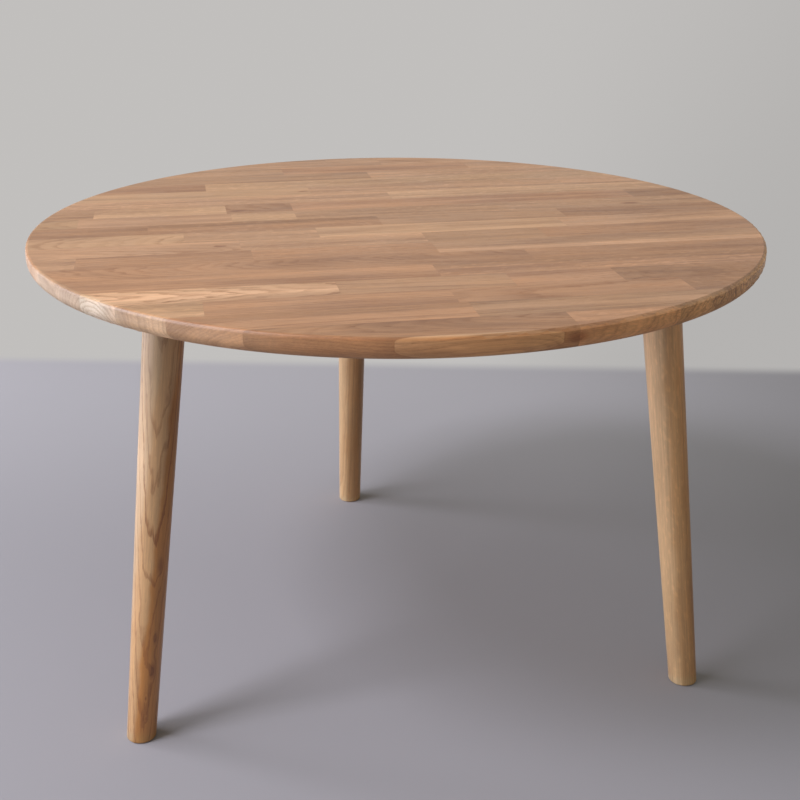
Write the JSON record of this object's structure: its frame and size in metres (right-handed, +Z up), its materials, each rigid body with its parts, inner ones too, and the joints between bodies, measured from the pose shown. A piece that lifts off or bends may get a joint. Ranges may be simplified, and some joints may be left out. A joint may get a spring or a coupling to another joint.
{
  "type": "folding low table",
  "caption": "Round low oak table with a round-edged top on splayed, tapered round legs that fold flat under the top on sprung steel brackets.",
  "frame": {"origin": "on the floor, under the middle of the round top", "axes": "+Z up; +X along the staves of the top; the rear leg stands on the +Y side and the two front legs on the -Y side"},
  "size_m": [0.5999, 0.6, 0.39],
  "materials": {
    "oak_top": "edge-glued solid oak staves, satin oil",
    "oak_leg": "turned solid oak, satin oil",
    "plated_steel": "pressed sheet steel, satin nickel plated",
    "bolt_steel": "zinc plated machine steel",
    "screw_steel": "zinc plated wood screws",
    "spring_steel": "tempered spring strip, oil blacked",
    "bush_steel": "turned steel tube",
    "nylon": "natural nylon"
  },
  "bodies": {
    "table": {"table_top": "oak_top", "bracket_rear": "plated_steel", "hinge_bolt_rear": "bolt_steel", "hinge_nut_rear": "bolt_steel", "hinge_washers_rear": "nylon", "bracket_screws_rear": "screw_steel", "catch_spring_rear": "spring_steel", "catch_rivets_rear": "bolt_steel", "bracket_front_left": "plated_steel", "hinge_bolt_front_left": "bolt_steel", "hinge_nut_front_left": "bolt_steel", "hinge_washers_front_left": "nylon", "bracket_screws_front_left": "screw_steel", "catch_spring_front_left": "spring_steel", "catch_rivets_front_left": "bolt_steel", "bracket_front_right": "plated_steel", "hinge_bolt_front_right": "bolt_steel", "hinge_nut_front_right": "bolt_steel", "hinge_washers_front_right": "nylon", "bracket_screws_front_right": "screw_steel", "catch_spring_front_right": "spring_steel", "catch_rivets_front_right": "bolt_steel"},
    "leg_rear": {"leg_rear": "oak_leg", "hinge_bush_rear": "bush_steel"},
    "leg_front_left": {"leg_front_left": "oak_leg", "hinge_bush_front_left": "bush_steel"},
    "leg_front_right": {"leg_front_right": "oak_leg", "hinge_bush_front_right": "bush_steel"}
  },
  "joints": [
    {"name": "fold_rear", "type": "hinge", "parent": "table", "child": "leg_rear", "pos_m": [0.00209, 0.21997, 0.359], "axis": [-0.8348, -0.5505, 0], "range_deg": [0, 96.5], "deforming": ["catch_spring_rear"]},
    {"name": "fold_front_left", "type": "hinge", "parent": "table", "child": "leg_front_left", "pos_m": [-0.19154, -0.10817, 0.359], "axis": [0.8942, -0.4478, 0], "range_deg": [0, 96.5], "deforming": ["catch_spring_front_left"]},
    {"name": "fold_front_right", "type": "hinge", "parent": "table", "child": "leg_front_right", "pos_m": [0.18945, -0.1118, 0.359], "axis": [-0.0593, 0.9982, 0], "range_deg": [0, 96.5], "deforming": ["catch_spring_front_right"]}
  ]
}
